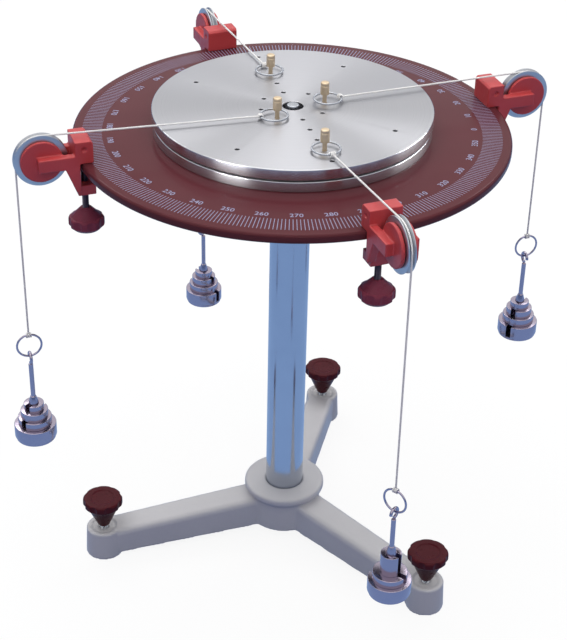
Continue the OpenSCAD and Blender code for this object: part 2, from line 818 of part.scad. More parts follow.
tripod_casting();
levelling_spindle_1();
levelling_spindle_2();
levelling_spindle_3();
levelling_knob_1();
levelling_knob_2();
levelling_knob_3();
column_tube();
column_bolt();
table_flange();
flange_screws();
table_disc();
bearing_plate();
bearing_balls();
moment_disc();
centre_pin();
clamp_body_1();
clamp_spindle_1();
clamp_knob_1();
pulley_wheel_1();
peg_1();
peg_ring_1();
cord_span_1();
cord_arc_1();
cord_drop_1();
hanger_ring_1();
mass_1();
clamp_body_2();
clamp_spindle_2();
clamp_knob_2();
pulley_wheel_2();
peg_2();
peg_ring_2();
cord_span_2();
cord_arc_2();
cord_drop_2();
hanger_ring_2();
mass_2();
clamp_body_3();
clamp_spindle_3();
clamp_knob_3();
pulley_wheel_3();
peg_3();
peg_ring_3();
cord_span_3();
cord_arc_3();
cord_drop_3();
hanger_ring_3();
mass_3();
clamp_body_4();
clamp_spindle_4();
clamp_knob_4();
pulley_wheel_4();
peg_4();
peg_ring_4();
cord_span_4();
cord_arc_4();
cord_drop_4();
hanger_ring_4();
mass_4();
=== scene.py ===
# Looks of a force table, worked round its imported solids: metres, +Z up, the column on the Z axis.
import math

import bmesh
import bpy
import numpy as np
from mathutils import Matrix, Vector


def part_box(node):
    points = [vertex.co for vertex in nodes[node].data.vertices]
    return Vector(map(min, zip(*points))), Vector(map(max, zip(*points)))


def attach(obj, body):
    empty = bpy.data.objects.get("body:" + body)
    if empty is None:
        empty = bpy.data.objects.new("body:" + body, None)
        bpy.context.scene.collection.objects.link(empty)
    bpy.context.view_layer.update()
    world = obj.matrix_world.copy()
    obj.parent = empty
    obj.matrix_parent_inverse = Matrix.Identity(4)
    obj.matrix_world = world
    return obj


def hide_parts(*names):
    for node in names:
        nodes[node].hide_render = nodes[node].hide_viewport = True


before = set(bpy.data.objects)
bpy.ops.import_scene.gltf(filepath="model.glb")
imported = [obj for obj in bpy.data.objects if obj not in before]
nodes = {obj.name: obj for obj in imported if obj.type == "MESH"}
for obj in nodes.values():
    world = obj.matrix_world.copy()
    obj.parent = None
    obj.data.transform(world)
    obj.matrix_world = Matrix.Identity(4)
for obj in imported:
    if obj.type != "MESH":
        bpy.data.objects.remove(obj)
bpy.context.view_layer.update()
scene = bpy.context.scene
scene.view_settings.view_transform = "Standard"
mm = 0.001
tau = 2 * math.pi
up = np.array([0.0, 0.0, 1.0])
lines = (1, 2, 3, 4)
feet = (1, 2, 3)
print("frame loaded:", len(nodes), "nodes")

# camera fitted to the photograph: place in metres, angles in radians, lens and centre in its pixels
photoCamera = {
    "place": (-0.00632, -1.34103, 1.09880),
    "pitch": 0.5644,
    "roll": 0.0210,
    "focalPixels": 1619.5,
    "centrePixels": (281.5, 317.5),
    "imagePixels": (567, 640),
}


def makeCamera(fit):
    wide, high = fit["imagePixels"]
    lens = bpy.data.cameras.new("photoCamera")
    lens.lens = fit["focalPixels"] / high * lens.sensor_width  # the sensor spans the longer side
    lens.shift_x = (wide / 2 - fit["centrePixels"][0]) / high
    lens.shift_y = (fit["centrePixels"][1] - high / 2) / high
    lens.clip_start = 0.05
    level = np.array([1.0, 0.0, 0.0])
    ahead = np.array([0.0, math.cos(fit["pitch"]), -math.sin(fit["pitch"])])
    above = np.cross(level, ahead)
    place = np.eye(4)
    place[:3, 0] = math.cos(fit["roll"]) * level + math.sin(fit["roll"]) * above
    place[:3, 1] = math.cos(fit["roll"]) * above - math.sin(fit["roll"]) * level
    place[:3, 2] = -ahead
    place[:3, 3] = fit["place"]
    camera = bpy.data.objects.new("photoCamera", lens)
    camera.matrix_world = Matrix(place.tolist())
    scene.collection.objects.link(camera)
    scene.camera = camera


makeCamera(photoCamera)
print("camera set")


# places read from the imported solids
def ends(node):
    low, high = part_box(node)
    return np.array(low), np.array(high)


def middle(node):
    low, high = ends(node)
    return (low + high) / 2


def width(node):
    low, high = ends(node)
    return high[0] - low[0]


def axes(origin, x, y, z):
    place = np.eye(4)
    place[:3, 0], place[:3, 1], place[:3, 2], place[:3, 3] = x, y, z, origin
    return place


def onAxis(node):
    at = middle(node)
    return axes((at[0], at[1], 0), (1, 0, 0), (0, 1, 0), up)


# a clamp's own directions: out from the column, round the rim, and up
def lineAxes(n):
    screw = middle(f"clamp_spindle_{n}")
    out = np.array([screw[0], screw[1], 0.0])
    out /= np.linalg.norm(out)
    return out, np.cross(up, out)


def carry(points, place):
    return points @ place[:3, :3].T + place[:3, 3]


def unit(vectors):
    return vectors / np.linalg.norm(vectors, axis=-1, keepdims=True)


# surfaces: each is a grid of points, rows first
def softCorners(corners, steps=7):
    # an outline of (r, z, radius): each corner becomes an arc that touches its two edges
    points = np.array([c[:2] for c in corners], float)
    radii = [c[2] if len(c) > 2 else 0 for c in corners]
    outline = [points[:1]]
    for k in range(1, len(points) - 1):
        if radii[k] == 0:
            outline.append(points[k:k + 1])
            continue
        back, on = unit(points[k - 1] - points[k]), unit(points[k + 1] - points[k])
        half = math.acos(np.clip(back @ on, -1, 1)) / 2
        centre = points[k] + unit(back + on) * radii[k] / math.sin(half)
        start = points[k] + back * radii[k] / math.tan(half) - centre
        stop = points[k] + on * radii[k] / math.tan(half) - centre
        sweep = math.acos(np.clip(unit(start) @ unit(stop), -1, 1))
        share = np.linspace(0, 1, steps)[:, None] * sweep
        arc = (np.sin(sweep - share) * start + np.sin(share) * stop) / math.sin(sweep)
        outline.append(centre + arc)
    outline.append(points[-1:])
    return np.concatenate(outline)


def lathe(corners, place=np.eye(4), spin=96, steps=7):
    # a turned shape: (r cos t, r sin t, z) for each point of the outline and each turn t
    outline = softCorners(corners, steps)
    t = np.linspace(0, tau, spin, endpoint=False)
    r, z = outline[:, :1], outline[:, 1:]
    grid = np.stack([r * np.cos(t), r * np.sin(t), z + 0 * t], -1)
    return carry(grid, place), False


def tube(path, side, radius, around=12, strands=0, lay=1.0):
    # a round section carried along a path: centre + r (cos u N + sin u B), with N kept nearest to side;
    # a laid cord's r swells on each strand: 0.86 + 0.14 |cos(strands/2 (u - turn))|, one turn per lay
    along = unit(np.gradient(path, axis=0))
    n = unit(side - (along @ side)[:, None] * along)
    b = np.cross(along, n)
    u = np.linspace(0, tau, around, endpoint=False)
    run = np.concatenate([[0], np.cumsum(np.linalg.norm(np.diff(path, axis=0), axis=1))])[:, None]
    r = radius * np.ones((len(path), around))
    if strands:
        r *= 0.86 + 0.14 * np.abs(np.cos(strands / 2 * (u - tau * run / lay)))
    grid = path[:, None] + (r * np.cos(u))[..., None] * n[:, None] + (r * np.sin(u))[..., None] * b[:, None]
    capped = [np.repeat(path[:1, None], around, 1), grid, np.repeat(path[-1:, None], around, 1)]
    return np.concatenate(capped), False


def wireRing(centre, normal, radius, wire, around=16, spin=96):
    # a ring of wire: centre + (R + w cos u) (cos t X + sin t Y) + w sin u Z
    first = unit(np.cross(normal, (0.3, 0.2, 0.9)))  # any direction across the normal
    second = np.cross(normal, first)
    t = np.linspace(0, tau, spin, endpoint=False)[:, None, None]
    u = np.linspace(0, tau, around, endpoint=False)[None, :, None]
    grid = centre + (radius + wire * np.cos(u)) * (np.cos(t) * first + np.sin(t) * second)
    return grid + wire * np.sin(u) * np.asarray(normal), True


def threaded(radius, low, high, pitch, depth, place, around=32):
    # a rounded screw thread: r = R - depth (1 + cos(2 pi z / pitch - t)) / 2, fading at both ends
    z = np.linspace(low, high, max(8, round((high - low) / pitch * 8)))[:, None]
    t = np.linspace(0, tau, around, endpoint=False)
    fade = np.clip(np.minimum(z - low, high - z) / pitch, 0, 1)
    r = radius - depth + fade * depth * (1 - np.cos(tau * z / pitch - t)) / 2
    grid = np.stack([r * np.cos(t), r * np.sin(t), z + 0 * t], -1)
    tips = np.array([[[0, 0, low]], [[0, 0, high]]])
    grid = np.concatenate([np.repeat(tips[:1], around, 1), grid, np.repeat(tips[1:], around, 1)])
    return carry(grid, place), False


def fluted(corners, place, flutes, fluteRadius, fluteDepth, crown, spin=256):
    # a turned knob with round scoops: r = min(profile, c cos a - sqrt(q^2 - (c sin a)^2)), where a is the
    # angle from the nearest scoop, q its radius and c = crown + q - depth; a soft minimum rounds the edges
    outline = softCorners(corners)
    t = np.linspace(0, tau, spin, endpoint=False)
    reach = crown + fluteRadius - fluteDepth
    a = (t * flutes / tau - np.floor(t * flutes / tau) - 0.5) * tau / flutes
    inside = np.clip(fluteRadius ** 2 - (reach * np.sin(a)) ** 2, 0, None)
    scoop = np.where(inside > 0, reach * np.cos(a) - np.sqrt(inside), 2 * crown)
    r, z = outline[:, :1] + 0 * t, outline[:, 1:]
    soft = 0.35 * mm
    blend = np.clip(0.5 + 0.5 * (scoop - r) / soft, 0, 1)
    r = scoop * (1 - blend) + r * blend - soft * blend * (1 - blend)
    r = np.where(outline[:, :1] == 0, 0, np.clip(r, 0, None))
    grid = np.stack([r * np.cos(t), r * np.sin(t), z + 0 * t], -1)
    return carry(grid, place), False


# meshes and objects
def weld(mesh, reach=1e-6):
    # merges points closer than reach and turns the faces outwards
    work = bmesh.new()
    work.from_mesh(mesh)
    bmesh.ops.remove_doubles(work, verts=work.verts, dist=reach)
    bmesh.ops.dissolve_degenerate(work, edges=work.edges, dist=reach)
    bmesh.ops.recalc_face_normals(work, faces=work.faces)
    work.to_mesh(mesh)
    work.free()


def smooth(mesh, crease=35):
    # smooth faces, with an edge kept sharp where it bends by more than crease
    mesh.shade_smooth()
    mesh.set_sharp_from_angle(angle=math.radians(crease))


def newObject(name, mesh):
    piece = bpy.data.objects.new(name, mesh)
    scene.collection.objects.link(piece)
    return piece


def surface(name, *grids, crease=35):
    # joins neighbouring points of each grid with quads; columns always close, rows where the grid says so
    points, quads, count = [], [], 0
    for grid, closedRows in grids:
        rows, cols = grid.shape[:2]
        i, j = np.meshgrid(np.arange(rows if closedRows else rows - 1), np.arange(cols), indexing="ij")
        below, beside = (i + 1) % rows, (j + 1) % cols
        corners = [i * cols + j, i * cols + beside, below * cols + beside, below * cols + j]
        quads.append(np.stack(corners, -1).reshape(-1, 4) + count)
        points.append(grid.reshape(-1, 3))
        count += rows * cols
    mesh = bpy.data.meshes.new(name)
    mesh.from_pydata(np.concatenate(points).tolist(), [], np.concatenate(quads).tolist())
    weld(mesh)
    smooth(mesh, crease)
    return newObject(name, mesh)


def settle(piece):
    # puts the result of a piece's modifiers into its mesh
    view = bpy.context.evaluated_depsgraph_get()
    view.update()
    mesh = bpy.data.meshes.new_from_object(piece.evaluated_get(view))
    piece.modifiers.clear()
    piece.data = mesh
    return mesh


def softened(node, name, voxel, passes):
    # a copy of a solid with its edges eased, as a casting's or a moulding's are
    mesh = nodes[node].data.copy()
    mesh.materials.clear()
    weld(mesh)
    piece = newObject(name, mesh)
    skin = piece.modifiers.new("skin", "REMESH")
    skin.mode = "VOXEL"
    skin.voxel_size = voxel
    ease = piece.modifiers.new("ease", "SMOOTH")
    ease.factor = 0.5
    ease.iterations = passes
    settle(piece).shade_smooth()
    return piece


def prism(name, outline, low, high, place, bevel):
    # a flat outline carried up from low to high, with capped ends and bevelled edges
    count = len(outline)
    flat = np.concatenate([np.c_[outline, np.full(count, low)], np.c_[outline, np.full(count, high)]])
    k = np.arange(count)
    sides = np.stack([k, (k + 1) % count, (k + 1) % count + count, k + count], -1)
    faces = sides.tolist() + [k[::-1].tolist(), (k + count).tolist()]
    mesh = bpy.data.meshes.new(name)
    mesh.from_pydata(carry(flat, place).tolist(), [], faces)
    piece = newObject(name, mesh)
    edge = piece.modifiers.new("edge", "BEVEL")
    edge.width = bevel
    edge.segments = 3
    edge.limit_method = "ANGLE"
    edge.angle_limit = math.radians(40)
    smooth(settle(piece))
    return piece


def dress(piece, material, body, slotName, *replaced):
    # gives a piece its finish and the body it rides on, and hides the solids it stands for; the slot name
    # is not used
    if material:
        piece.data.materials.append(material)
    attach(piece, body)
    if replaced:
        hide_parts(*replaced)
    return piece


# materials
def colour(code):
    # an sRGB hex value as linear red, green, blue and alpha
    srgb = [int(code[k:k + 2], 16) / 255 for k in (1, 3, 5)]
    return [c / 12.92 if c <= 0.04045 else ((c + 0.055) / 1.055) ** 2.4 for c in srgb] + [1.0]


def addNode(tree, kind, settings={}, sockets={}, links={}):
    node = tree.nodes.new(kind)
    for name, value in settings.items():
        setattr(node, name, value)
    for name, value in sockets.items():
        node.inputs[name].default_value = value
    for name, source in links.items():
        tree.links.new(source, node.inputs[name])
    return node


def newMaterial(name, sockets):
    material = bpy.data.materials.new(name)
    material.use_nodes = True
    tree = material.node_tree
    shader = tree.nodes["Principled BSDF"]
    for key, value in sockets.items():
        shader.inputs[key].default_value = value
    where = addNode(tree, "ShaderNodeTexCoord").outputs["Object"]
    return material, tree, shader, where


def mottle(tree, where, shader, dark, light, size):
    # slow colour change between two close tones, in patches of the given size
    noise = addNode(tree, "ShaderNodeTexNoise", {}, {"Scale": 1 / size, "Detail": 3}, {"Vector": where})
    tone = addNode(tree, "ShaderNodeMix", {"data_type": "RGBA"}, {6: colour(dark), 7: colour(light)},
                   {0: noise.outputs["Fac"]})
    tree.links.new(tone.outputs[2], shader.inputs["Base Color"])


def roughen(tree, where, shader, low, high, size):
    # roughness that wanders between two values, in patches of the given size
    noise = addNode(tree, "ShaderNodeTexNoise", {}, {"Scale": 1 / size, "Detail": 4}, {"Vector": where})
    spread = addNode(tree, "ShaderNodeMapRange", {}, {"From Min": 0.3, "From Max": 0.7, "To Min": low,
                     "To Max": high}, {"Value": noise.outputs["Fac"]})
    tree.links.new(spread.outputs["Result"], shader.inputs["Roughness"])


def pebble(tree, where, shader, size, height):
    # a low relief of bumps, size across and height deep
    noise = addNode(tree, "ShaderNodeTexNoise", {}, {"Scale": 1 / size, "Detail": 2}, {"Vector": where})
    bump = addNode(tree, "ShaderNodeBump", {}, {"Strength": 1.0, "Distance": height},
                   {"Height": noise.outputs["Fac"]})
    tree.links.new(bump.outputs["Normal"], shader.inputs["Normal"])


def stovedEnamel():
    # stoved grey-cream enamel on rough cast iron: soft gloss over a faint orange peel, 4 mm from dip to dip
    material, tree, shader, where = newMaterial("stovedEnamelOnIron", {"IOR": 1.5})
    mottle(tree, where, shader, "#c5c3c6", "#d2d0d1", 45 * mm)
    roughen(tree, where, shader, 0.32, 0.44, 18 * mm)
    pebble(tree, where, shader, 4 * mm, 0.12 * mm)
    return material


def maroonEnamel():
    # sprayed maroon gloss enamel on a flat plate: deep colour under a clear reflection
    material, tree, shader, where = newMaterial("sprayedMaroonEnamel",
                                                {"IOR": 1.5, "Specular IOR Level": 0.1})
    mottle(tree, where, shader, "#52242a", "#5b2a30", 60 * mm)
    roughen(tree, where, shader, 0.16, 0.26, 25 * mm)
    pebble(tree, where, shader, 3 * mm, 0.015 * mm)
    return material


def mouldedPhenolic(name, dark, light):
    # moulded maroon phenolic: very dark red with a buffed gloss and fine rub marks
    material, tree, shader, where = newMaterial(name, {"IOR": 1.55, "Specular IOR Level": 0.08})
    mottle(tree, where, shader, dark, light, 9 * mm)
    roughen(tree, where, shader, 0.24, 0.40, 4 * mm)
    pebble(tree, where, shader, 1.2 * mm, 0.02 * mm)
    return material


def mouldedStyrene():
    # moulded red styrene: bright satin red with a slight grain from the tool
    material, tree, shader, where = newMaterial("mouldedRedStyrene",
                                                {"IOR": 1.57, "Specular IOR Level": 0.35})
    mottle(tree, where, shader, "#b43a3c", "#bf4547", 14 * mm)
    roughen(tree, where, shader, 0.34, 0.48, 6 * mm)
    pebble(tree, where, shader, 1.0 * mm, 0.03 * mm)
    return material


def platedChrome(name, dark, light, patch, polish):
    # bright plate on buffed steel: a cool grey mirror with slight polishing haze
    material, tree, shader, where = newMaterial(name, {"Metallic": 1.0})
    mottle(tree, where, shader, dark, light, patch)
    roughen(tree, where, shader, polish, polish + 0.07, 20 * mm)
    return material


def turnedAluminium(name, dark, light, roughness):
    # faced in a lathe: fine rings round the centre stretch each light into a fan across them
    material, tree, shader, where = newMaterial(name, {"Metallic": 1.0, "Roughness": roughness,
                                                "Anisotropic": 0.8, "Anisotropic Rotation": 0.25})
    parts = addNode(tree, "ShaderNodeSeparateXYZ", {}, {}, {"Vector": where})
    level = addNode(tree, "ShaderNodeCombineXYZ", {}, {},
                    {"X": parts.outputs["X"], "Y": parts.outputs["Y"]})
    reach = addNode(tree, "ShaderNodeVectorMath", {"operation": "LENGTH"}, {}, {0: level.outputs["Vector"]})
    ringPitch = 0.9 * mm  # real tool marks are 0.1 mm apart, too fine to show
    rings = addNode(tree, "ShaderNodeTexNoise", {"noise_dimensions": "1D"},
                    {"Scale": 1 / ringPitch, "Detail": 2}, {"W": reach.outputs["Value"]})
    tone = addNode(tree, "ShaderNodeMix", {"data_type": "RGBA"}, {6: colour(dark), 7: colour(light)},
                   {0: rings.outputs["Fac"]})
    tree.links.new(tone.outputs[2], shader.inputs["Base Color"])
    bump = addNode(tree, "ShaderNodeBump", {}, {"Strength": 0.25, "Distance": 0.01 * mm},
                   {"Height": rings.outputs["Fac"]})
    tree.links.new(bump.outputs["Normal"], shader.inputs["Normal"])
    grain = addNode(tree, "ShaderNodeTangent", {"direction_type": "RADIAL", "axis": "Z"})
    tree.links.new(grain.outputs["Tangent"], shader.inputs["Tangent"])
    return material


def emeriedAluminium():
    # turned aluminium rubbed with emery: a dull grey sheen
    material, tree, shader, where = newMaterial("emeriedAluminium", {"Metallic": 1.0})
    mottle(tree, where, shader, "#acaeb4", "#c2c4c8", 10 * mm)
    roughen(tree, where, shader, 0.30, 0.42, 5 * mm)
    return material


def drawnSteel():
    # bright drawn steel: grey with light rub marks
    material, tree, shader, where = newMaterial("brightDrawnSteel", {"Metallic": 1.0})
    mottle(tree, where, shader, "#a9acb3", "#c0c3c8", 6 * mm)
    roughen(tree, where, shader, 0.20, 0.34, 5 * mm)
    return material


def blackenedSteel():
    # steel coloured dark lilac-grey, with a low sheen on the thread's crests
    material, tree, shader, where = newMaterial("darkLilacGreySteel", {"Metallic": 1.0})
    mottle(tree, where, shader, "#5d5762", "#766e7a", 3 * mm)
    roughen(tree, where, shader, 0.28, 0.42, 4 * mm)
    return material


def turnedBrass():
    # turned brass, handled: a dulled tan with warmer patches
    material, tree, shader, where = newMaterial("turnedBrass", {"Metallic": 1.0})
    mottle(tree, where, shader, "#d0b896", "#e2d0b6", 4 * mm)
    roughen(tree, where, shader, 0.34, 0.50, 3 * mm)
    return material


def laidCotton():
    # laid cotton cord: matt off-white, with fibres that catch the light at its edges
    material, tree, shader, where = newMaterial("laidCottonCord", {"Roughness": 0.85, "Sheen Weight": 0.3})
    mottle(tree, where, shader, "#dad8d7", "#efedea", 1.5 * mm)
    pebble(tree, where, shader, 0.3 * mm, 0.05 * mm)
    return material


def printedInk():
    # silk-screened white ink: slightly lilac over the maroon, matt and a little uneven
    material, tree, shader, where = newMaterial("screenedWhiteInk", {"Roughness": 0.5})
    mottle(tree, where, shader, "#898eb0", "#9da2c4", 5 * mm)
    return material


enamelGrey = stovedEnamel()
enamelMaroon = maroonEnamel()
levelMaroon = mouldedPhenolic("mouldedLevelPhenolic", "#48151c", "#561c24")
# the grip knobs take a lighter, pinker copy of the levelling knobs' phenolic: painted light against the
# shade they sit in under the table
shadeLiftedGripMaroon = mouldedPhenolic("gripPhenolicLiftedForShade", "#7a3344", "#883f50")
clampRed = mouldedStyrene()
columnChrome = platedChrome("platedColumnChrome", "#b2b8c4", "#bdc3ce", 30 * mm, 0.14)
# the weights' plate takes a darker lilac-pink tone than the column's same chrome: a painted reflection tint
# over the blue card's real reflection
reflectionTintedWeightChrome = platedChrome("weightChromeReflectionTint", "#a19cb0", "#b2a5b1", 14 * mm, 0.17)
# the faces take a darker tone than the rims of the same aluminium: painted shade that holds down the light
# falling on the top
shadedFaceAluminium = turnedAluminium("facedAluminiumShadedDown", "#a9a9ad", "#b9b9bd", 0.40)
rimAluminium = turnedAluminium("turnedRimAluminium", "#bdbdc1", "#cbcbce", 0.23)
wheelAluminium = emeriedAluminium()
brightSteel = drawnSteel()
screwSteel = blackenedSteel()
pegBrass = turnedBrass()
cordCotton = laidCotton()
dialInk = printedInk()
print("materials made")

# rings: the radius of their wire, and the degrees that a hanging one and its hook turn about the cord
ringLook = {"wire": 1 * mm, "turn": {1: 0, 2: 0, 3: 0, 4: 30}}

# cords, in metres: each goes from a ring on a peg to the top of its pulley, a quarter turn round that,
# and down to a hanging ring
cordRoute = {
    "wrapRadius": 0.0222,
    "diameter": 0.0018,
    "clearLength": 0.0003,
    "strandLay": 0.0058,
    "step": 0.0006,
    "strands": 3,
    "around": 15,
}


def cordPiece(name, start, stop, side, body, node):
    # a straight stretch: start + s (stop - start) for s from 0 to 1
    length = np.linalg.norm(stop - start)
    share = np.linspace(0, 1, max(20, round(length / cordRoute["step"])))[:, None]
    return cordAlong(name, start + share * (stop - start), side, body, node)


def cordAlong(name, path, side, body, node):
    # a laid cord carried along a path
    cord = tube(path, side, cordRoute["diameter"] / 2, cordRoute["around"], cordRoute["strands"],
                cordRoute["strandLay"])
    piece = surface(name, cord, crease=60)
    dress(piece, cordCotton, body, "cord", node)
    length = float(np.linalg.norm(np.diff(path, axis=0), axis=1).sum())
    return length


for n in lines:
    out, beside = lineAxes(n)
    axle = middle(f"pulley_wheel_{n}")
    ring = middle(f"peg_ring_{n}")
    top = axle + up * cordRoute["wrapRadius"]
    pull = unit(top - ring)
    ringReach = width(f"peg_ring_{n}") / 2 - ringLook["wire"]
    spanLength = cordPiece(f"cordSpan_{n}", top - pull * cordRoute["clearLength"],
                           ring + pull * ringReach, up, f"line_{n}", f"cord_span_{n}")
    bend = np.linspace(0, tau / 4, 60)[:, None]
    arcPath = axle + cordRoute["wrapRadius"] * (np.sin(bend) * out + np.cos(bend) * up)
    arcLength = cordAlong(f"cordArc_{n}", arcPath, beside, f"clamp_{n}", f"cord_arc_{n}")
    edge = axle + out * cordRoute["wrapRadius"]
    low = ends(f"cord_drop_{n}")[0][2]
    dropEnd = np.array([edge[0], edge[1], low])
    dropLength = cordPiece(f"cordDrop_{n}", edge - up * cordRoute["clearLength"], dropEnd, beside,
                           f"drop_{n}", f"cord_drop_{n}")
    print(f"cord {n}: {spanLength + arcLength + dropLength:.3f} m")

# the loops that tie a cord to its rings: a helix of cord wound round the ring's bent wire
knotLook = {"turns": 3.2, "coilRadius": 1.85 * mm, "cordRadius": 0.75 * mm, "pitch": 1.5 * mm}


def knot(name, centre, toCord, normal, ringRadius, body):
    turn = np.linspace(-0.5, 0.5, 140)[:, None]
    along = np.cross(normal, toCord)
    bend = turn * knotLook["turns"] * knotLook["pitch"] / ringRadius
    spoke = np.cos(bend) * toCord + np.sin(bend) * along
    wind = turn * knotLook["turns"] * tau
    coil = knotLook["coilRadius"] * (np.cos(wind) * spoke + np.sin(wind) * normal)
    path = centre + ringRadius * spoke + coil
    piece = surface(name, tube(path, along, knotLook["cordRadius"], 10), crease=60)
    return dress(piece, cordCotton, body, "cord")


def hookAxes(n):
    # a clamp's directions, turned about the cord as its hanging ring is
    out, beside = lineAxes(n)
    a = math.radians(ringLook["turn"][n])
    return math.cos(a) * out + math.sin(a) * beside, math.cos(a) * beside - math.sin(a) * out


for n in lines:
    out, beside = hookAxes(n)
    wire = ringLook["wire"]
    centre, radius = middle(f"peg_ring_{n}"), width(f"peg_ring_{n}") / 2 - wire
    top = middle(f"pulley_wheel_{n}") + up * cordRoute["wrapRadius"]
    ringPiece = surface(f"pegRing_{n}", wireRing(centre, up, radius, wire))
    dress(ringPiece, brightSteel, f"line_{n}", "steel", f"peg_ring_{n}")
    knot(f"pegKnot_{n}", centre, unit(top - centre), up, radius, f"line_{n}")
    centre = middle(f"hanger_ring_{n}")
    low, high = ends(f"hanger_ring_{n}")
    radius = (high[2] - low[2]) / 2 - wire
    ringPiece = surface(f"hangerRing_{n}", wireRing(centre, beside, radius, wire))
    dress(ringPiece, reflectionTintedWeightChrome, f"drop_{n}", "steel", f"hanger_ring_{n}")
    knot(f"hangerKnot_{n}", centre, up, beside, radius, f"drop_{n}")
print("cords, rings and knots made")

# base: the casting, its column and the three levelling screws
castingLook = {"voxel": 1.3 * mm, "smoothing": 3}
columnLook = {"edge": 0.5 * mm}
levelLook = {"screwRadius": 4 * mm, "pitch": 1.25 * mm, "threadDepth": 0.7 * mm, "coneHeight": 22 * mm,
             "footRadius": 6 * mm, "coneRadius": 15.5 * mm, "underHeight": 4 * mm, "flutes": 8,
             "fluteRadius": 7 * mm, "fluteDepth": 1.6 * mm, "footRound": 0.8 * mm, "coneRound": 3 * mm,
             "headRound": 2.5 * mm, "dishShare": 0.62, "dishFloor": 0.55, "dishDepth": 0.8 * mm,
             "dishRound": 1.5 * mm}

casting = softened("tripod_casting", "tripodCasting", castingLook["voxel"], castingLook["smoothing"])
dress(casting, enamelGrey, "base", "cream_enamel", "tripod_casting")

low, high = ends("column_tube")
columnRadius = width("column_tube") / 2
column = surface("columnTube", lathe([(0, low[2]), (columnRadius, low[2], columnLook["edge"]),
                 (columnRadius, high[2], columnLook["edge"]), (0, high[2])], spin=160))
dress(column, columnChrome, "base", "chrome", "column_tube")

for k in feet:
    low, high = ends(f"levelling_spindle_{k}")
    screw = surface(f"levellingScrew_{k}", threaded(levelLook["screwRadius"], low[2], high[2],
                    levelLook["pitch"], levelLook["threadDepth"], onAxis(f"levelling_spindle_{k}")))
    dress(screw, brightSteel, f"level_screw_{k}", "steel", f"levelling_spindle_{k}")
    low, high = ends(f"levelling_knob_{k}")
    crown, neck = width(f"levelling_knob_{k}") / 2, low[2] + levelLook["coneHeight"]
    dish = high[2] - levelLook["dishDepth"]
    knob = surface(f"levellingKnob_{k}", fluted(
        [(0, low[2]), (levelLook["footRadius"], low[2], levelLook["footRound"]),
         (levelLook["coneRadius"], neck, levelLook["coneRound"]),
         (crown, neck + levelLook["underHeight"], levelLook["headRound"]),
         (crown, high[2], levelLook["headRound"]),
         (crown * levelLook["dishShare"], high[2], levelLook["dishRound"]),
         (crown * levelLook["dishFloor"], dish, levelLook["dishRound"]), (0, dish)],
        onAxis(f"levelling_knob_{k}"), levelLook["flutes"], levelLook["fluteRadius"],
        levelLook["fluteDepth"], crown))
    dress(knob, levelMaroon, f"level_knob_{k}", "maroon_plastic", f"levelling_knob_{k}")
print("base made")

# table: the plate and its printed dial
tableLook = {"edge": 3 * mm}
dialLook = {"tickInner": 173 * mm, "tickOuter": 191 * mm, "tickWidth": 0.5 * mm, "tickCount": 360,
            "numberReach": 166.5 * mm, "numberHeight": 5.8 * mm, "numberStep": 10, "zeroTurn": 1.5,
            "inkHeight": 0.04 * mm, "figureShare": 0.73}
low, high = ends("table_disc")
tableTop, tableRadius = high[2], width("table_disc") / 2
table = surface("tablePlate", lathe([(0, low[2]), (tableRadius, low[2], tableLook["edge"]),
                (tableRadius, tableTop, tableLook["edge"]), (0, tableTop)], spin=256, steps=10))
dress(table, enamelMaroon, "base", "maroon_enamel", "table_disc")


def dialTicks(look):
    # one thin box for each degree: (r cos t, r sin t) with half a tick's width to either side
    turn = np.radians(look["zeroTurn"] + np.arange(look["tickCount"]) * 360 / look["tickCount"])
    out = np.stack([np.cos(turn), np.sin(turn), 0 * turn], -1)
    beside = np.stack([-np.sin(turn), np.cos(turn), 0 * turn], -1)
    half = look["tickWidth"] / 2
    ring = [out * look["tickInner"] - beside * half, out * look["tickOuter"] - beside * half,
            out * look["tickOuter"] + beside * half, out * look["tickInner"] + beside * half]
    flat = np.stack(ring, 1)
    levels = [tableTop - look["inkHeight"], tableTop + look["inkHeight"]]
    points = np.concatenate([flat + up * levels[0], flat + up * levels[1]], 1).reshape(-1, 3)
    box = np.array([[3, 2, 1, 0], [4, 5, 6, 7], [0, 1, 5, 4], [1, 2, 6, 5], [2, 3, 7, 6], [3, 0, 4, 7]])
    faces = (np.arange(look["tickCount"])[:, None, None] * 8 + box).reshape(-1, 4)
    mesh = bpy.data.meshes.new("dialTicks")
    mesh.from_pydata(points.tolist(), [], faces.tolist())
    return newObject("dialTicks", mesh)


def dialNumbers(look):
    # upright to a reader who faces the column: the text runs round the dial, its top towards the middle
    work = bmesh.new()
    for value in range(0, 360, look["numberStep"]):
        text = bpy.data.curves.new(f"number{value}", "FONT")
        text.body = str(value)
        text.size = look["numberHeight"] / look["figureShare"]  # a figure is shorter than the letter size
        text.align_x, text.align_y = "CENTER", "CENTER"
        text.extrude = look["inkHeight"]
        text.resolution_u = 3
        holder = newObject(f"number{value}", text)
        mesh = bpy.data.meshes.new_from_object(holder.evaluated_get(bpy.context.evaluated_depsgraph_get()))
        turn = math.radians(value + look["zeroTurn"])
        out = np.array([math.cos(turn), math.sin(turn), 0])
        place = axes(out * look["numberReach"] + up * tableTop, np.cross(up, out), -out, up)
        mesh.transform(Matrix(place.tolist()))
        work.from_mesh(mesh)
        bpy.data.objects.remove(holder)
    bmesh.ops.remove_doubles(work, verts=work.verts, dist=1e-6)
    mesh = bpy.data.meshes.new("dialNumbers")
    work.to_mesh(mesh)
    work.free()
    return newObject("dialNumbers", mesh)


dress(dialTicks(dialLook), dialInk, "base", "maroon_enamel")
dress(dialNumbers(dialLook), dialInk, "base", "maroon_enamel")
print("table and dial made")

# the two discs of the bearing, with the peg holes in the upper one
discLook = {"edge": 1 * mm, "boreRadius": 9.5 * mm, "boreBevel": 0.5 * mm, "pinDome": 1.2 * mm,
            "flatLimit": 0.95}
pegHoles = {"radius": 2.05 * mm, "turn": 17.3, "inner": 30 * mm, "pitch": 21 * mm, "outer": 102 * mm,
            "bevel": 0.4 * mm}


